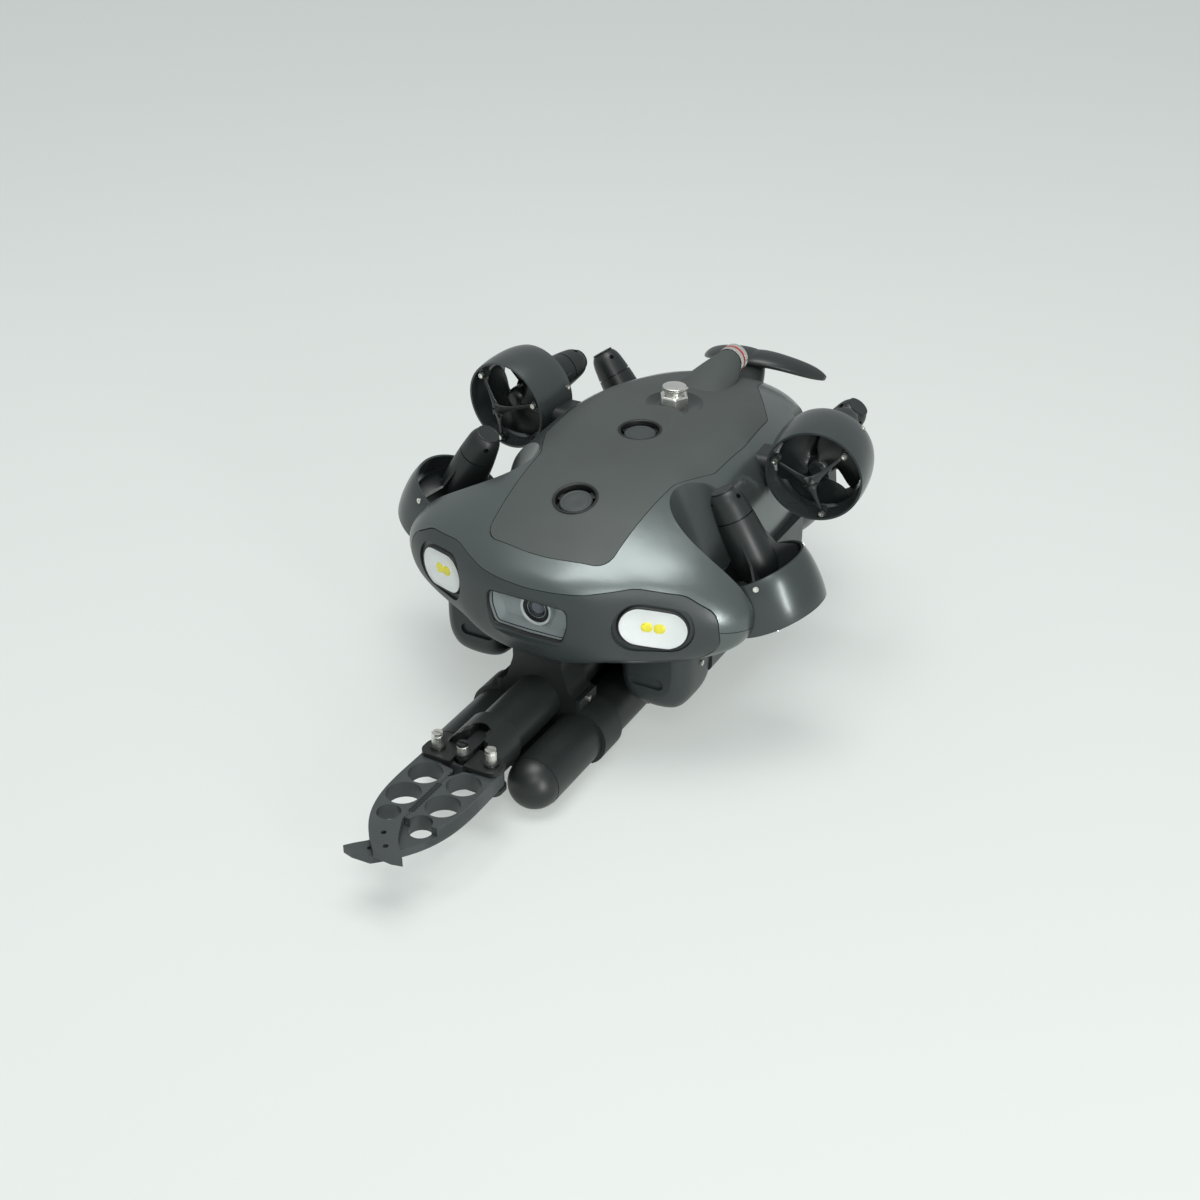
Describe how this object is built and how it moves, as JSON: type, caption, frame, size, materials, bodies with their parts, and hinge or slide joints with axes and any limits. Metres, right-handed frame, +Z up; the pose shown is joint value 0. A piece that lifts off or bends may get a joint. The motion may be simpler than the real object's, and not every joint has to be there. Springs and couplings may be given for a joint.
{
  "type": "underwater inspection rov",
  "caption": "Compact underwater inspection vehicle with a lens-shaped hull, ducted thrusters, camera between two lamps, tail fluke and a two-jaw gripper on a tube arm under the nose.",
  "frame": {"origin": "under the middle of the vehicle, on the plane that its ballast tubes lie on", "axes": "+Z up, the nose and the gripper point to -Y, +X is the vehicle's port side"},
  "size_m": [0.3416, 0.585, 0.2087],
  "materials": {
    "shell_paint": "satin metallic paint",
    "band_plastic": "matt",
    "cover_plastic": "fine matt grain",
    "pod_plastic": "matt",
    "canister_metal": "anodised",
    "cradle_plastic": "matt",
    "window_glass": "clear",
    "plate_grey": "satin",
    "barrel_black": "matt",
    "lens_metal": "satin",
    "lens_glass": "coated",
    "reflector_white": "bright",
    "emitter_yellow": "smooth",
    "socket_plastic": "matt",
    "cap_plastic": "satin",
    "steel": "turned",
    "ring_red": "satin",
    "duct_paint": "satin paint",
    "nacelle_black": "satin",
    "propeller_black": "satin",
    "guard_black": "satin",
    "tube_black": "black anodised",
    "strap_black": "matt",
    "jaw_alloy": "grey anodised"
  },
  "bodies": {
    "hull": {"upper_shell": "shell_paint", "lower_shell": "shell_paint", "nose_band": "band_plastic", "back_cover": "cover_plastic", "tail_fluke": "cover_plastic", "mid_pylons": "cover_plastic", "battery_pod_port": "pod_plastic", "battery_pod_starboard": "pod_plastic", "pressure_canister": "canister_metal", "canister_cradles": "cradle_plastic", "camera_window": "window_glass", "lamp_windows": "window_glass", "camera_plate": "plate_grey", "lens_barrel": "barrel_black", "camera_housing": "barrel_black", "lamp_housings": "barrel_black", "lens_ring": "lens_metal", "lens_glass": "lens_glass", "lamp_reflectors": "reflector_white", "lamp_emitters": "emitter_yellow", "port_sockets": "socket_plastic", "vent_hex": "steel", "coupling_stub": "steel", "guard_screws": "steel", "clamp_screws": "steel", "pivot_pins": "steel", "duct_front_port": "duct_paint", "motor_front_port": "nacelle_black", "duct_front_starboard": "duct_paint", "motor_front_starboard": "nacelle_black", "duct_mid_port": "duct_paint", "motor_mid_port": "nacelle_black", "duct_mid_starboard": "duct_paint", "motor_mid_starboard": "nacelle_black", "duct_rear_port": "duct_paint", "motor_rear_port": "nacelle_black", "duct_rear_starboard": "duct_paint", "motor_rear_starboard": "nacelle_black", "duct_guards": "guard_black", "arm_tube": "tube_black", "ballast_tubes": "tube_black", "tube_domes": "tube_black", "wrist_collar": "tube_black", "jaw_fork": "tube_black", "arm_saddles": "tube_black", "clamp_straps": "strap_black"},
    "propeller_front_port": {"propeller_front_port": "propeller_black"},
    "propeller_front_starboard": {"propeller_front_starboard": "propeller_black"},
    "propeller_mid_port": {"propeller_mid_port": "propeller_black"},
    "propeller_mid_starboard": {"propeller_mid_starboard": "propeller_black"},
    "propeller_rear_port": {"propeller_rear_port": "propeller_black"},
    "propeller_rear_starboard": {"propeller_rear_starboard": "propeller_black"},
    "jaw_starboard": {"jaw_starboard": "jaw_alloy"},
    "jaw_port": {"jaw_port": "jaw_alloy"},
    "drive_rod": {"drive_rod": "tube_black"},
    "port_cap_front": {"port_cap_front": "cap_plastic"},
    "port_cap_rear": {"port_cap_rear": "cap_plastic"},
    "vent_cap": {"vent_cap": "steel"},
    "coupling_nut": {"coupling_nut": "steel", "coupling_ring": "ring_red"}
  },
  "joints": [
    {"name": "spin_front_port", "type": "hinge", "parent": "hull", "child": "propeller_front_port", "pos_m": [0.1395, 0.00783, 0.1017], "axis": [-0.4748, -0.03, 0.8796], "continuous": true},
    {"name": "spin_front_starboard", "type": "hinge", "parent": "hull", "child": "propeller_front_starboard", "pos_m": [-0.1395, 0.00783, 0.1017], "axis": [0.4748, -0.03, 0.8796], "continuous": true},
    {"name": "spin_mid_port", "type": "hinge", "parent": "hull", "child": "propeller_mid_port", "pos_m": [0.1283, 0.08503, 0.1698], "axis": [-0.1403, 0.9872, 0.0752], "continuous": true},
    {"name": "spin_mid_starboard", "type": "hinge", "parent": "hull", "child": "propeller_mid_starboard", "pos_m": [-0.1283, 0.08503, 0.1698], "axis": [0.1403, 0.9872, 0.0752], "continuous": true},
    {"name": "spin_rear_port", "type": "hinge", "parent": "hull", "child": "propeller_rear_port", "pos_m": [0.0475, 0.20803, 0.0778], "axis": [0.5704, 0.035, 0.8206], "continuous": true},
    {"name": "spin_rear_starboard", "type": "hinge", "parent": "hull", "child": "propeller_rear_starboard", "pos_m": [-0.0475, 0.20803, 0.0778], "axis": [-0.5704, 0.035, 0.8206], "continuous": true},
    {"name": "open_jaw_starboard", "type": "hinge", "parent": "hull", "child": "jaw_starboard", "pos_m": [-0.0208, -0.18447, 0.0423], "axis": [0, 0, -1], "range_deg": [0, 21]},
    {"name": "open_jaw_port", "type": "hinge", "parent": "hull", "child": "jaw_port", "pos_m": [0.0208, -0.18447, 0.0423], "axis": [0, 0, 1], "range_deg": [0, 21]},
    {"name": "push_drive_rod", "type": "slide", "parent": "hull", "child": "drive_rod", "axis": [0, -1, 0], "range_m": [0, 0.00782]},
    {"name": "turn_port_cap_front", "type": "hinge", "parent": "hull", "child": "port_cap_front", "pos_m": [0, -0.03145, 0.1694], "axis": [0, -0.262, 0.9651], "range_deg": [0, 90]},
    {"name": "turn_port_cap_rear", "type": "hinge", "parent": "hull", "child": "port_cap_rear", "pos_m": [0, 0.0637, 0.18174], "axis": [0, -0.0464, 0.9989], "range_deg": [0, 90]},
    {"name": "turn_vent_cap", "type": "hinge", "parent": "hull", "child": "vent_cap", "pos_m": [0, 0.11883, 0.1968], "axis": [0, 0, 1], "range_deg": [0, 270]},
    {"name": "turn_coupling_nut", "type": "hinge", "parent": "hull", "child": "coupling_nut", "pos_m": [0, 0.22203, 0.1838], "axis": [0, 1, 0], "range_deg": [0, 300]}
  ],
  "couplings": [
    {"joint": "open_jaw_port", "follows": "open_jaw_starboard", "ratio": 1},
    {"joint": "push_drive_rod", "follows": "open_jaw_starboard", "m_per_rad": 0.0208}
  ]
}
